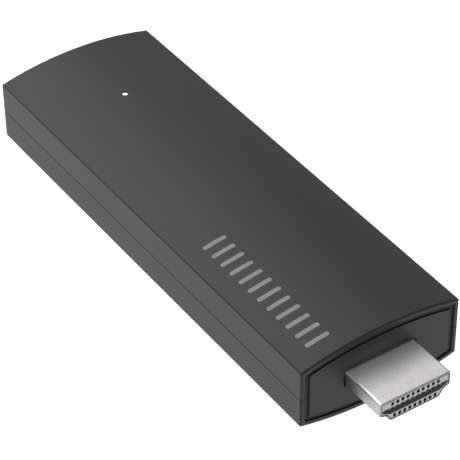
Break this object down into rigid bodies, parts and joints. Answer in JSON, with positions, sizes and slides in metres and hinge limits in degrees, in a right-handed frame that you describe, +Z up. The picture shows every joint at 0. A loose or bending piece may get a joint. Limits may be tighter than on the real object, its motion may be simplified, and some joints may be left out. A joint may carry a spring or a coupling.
{
  "type": "streaming stick",
  "caption": "Flat crowned media stick in a two-part dark case, with an HDMI plug at one end, a power socket at the other and a small side button.",
  "frame": {"origin": "middle of the whole stick, plug included, on the surface that it rests on", "axes": "+X the way the plug points, +Z up through the side with the indicator, +Y towards the side with the button"},
  "size_m": [0.1028, 0.0312, 0.0154],
  "materials": {
    "case": "fine matte texture",
    "bezel": "fine matte texture",
    "plug_shell": "satin nickel plate",
    "plug_insulator": "moulded, satin",
    "contact_gold": "gold flash",
    "board_mask": "solder mask",
    "chip_case": "moulded epoxy",
    "ceramic": "ceramic with tinned ends",
    "resistor_glaze": "glazed",
    "ferrite": "pressed ferrite",
    "crystal_can": "lapped lid",
    "shield_steel": "tin plate",
    "thermal_pad": "soft silicone",
    "spreader": "plain rolled sheet",
    "antenna_metal": "stamped, tinned",
    "screw_steel": "black zinc",
    "lens": "milky clear",
    "light_body": "moulded resin",
    "button_plastic": "fine matte texture",
    "switch_plastic": "moulded",
    "spring_steel": "bright",
    "socket_shell": "bright tin plate",
    "socket_insulator": "moulded"
  },
  "bodies": {
    "case": {"top_cover": "case", "bottom_cover": "case", "front_bezel": "bezel", "hdmi_shell": "plug_shell", "hdmi_insulator": "plug_insulator", "hdmi_contacts_upper": "contact_gold", "hdmi_contacts_lower": "contact_gold", "main_board": "board_mask", "board_screws": "screw_steel", "processor": "chip_case", "memory_chips": "chip_case", "flash_chip": "chip_case", "power_chip": "chip_case", "wifi_chip": "chip_case", "crystals": "crystal_can", "power_inductors": "ferrite", "chip_capacitors": "ceramic", "chip_resistors": "resistor_glaze", "shield_frame": "shield_steel", "shield_lid": "shield_steel", "lower_shield_frame": "shield_steel", "lower_shield_lid": "shield_steel", "wifi_shield": "shield_steel", "processor_pad": "thermal_pad", "spreader_pad": "thermal_pad", "heat_spreader": "spreader", "antenna_left": "antenna_metal", "antenna_right": "antenna_metal", "indicator_light": "light_body", "light_pipe": "lens", "switch_body": "switch_plastic", "switch_dome": "spring_steel", "usb_shell": "socket_shell", "usb_tongue": "socket_insulator", "usb_contacts": "contact_gold"},
    "button": {"reset_button": "button_plastic"},
    "plunger": {"switch_plunger": "switch_plastic"}
  },
  "joints": [
    {"name": "button_press", "type": "slide", "parent": "case", "child": "button", "axis": [0, -1, 0], "range_m": [0, 0.00025], "stiffness_N_per_m": 2000},
    {"name": "plunger_press", "type": "slide", "parent": "case", "child": "plunger", "axis": [0, -1, 0], "range_m": [0, 0.00025]}
  ],
  "couplings": [
    {"joint": "plunger_press", "follows": "button_press", "ratio": 1}
  ]
}
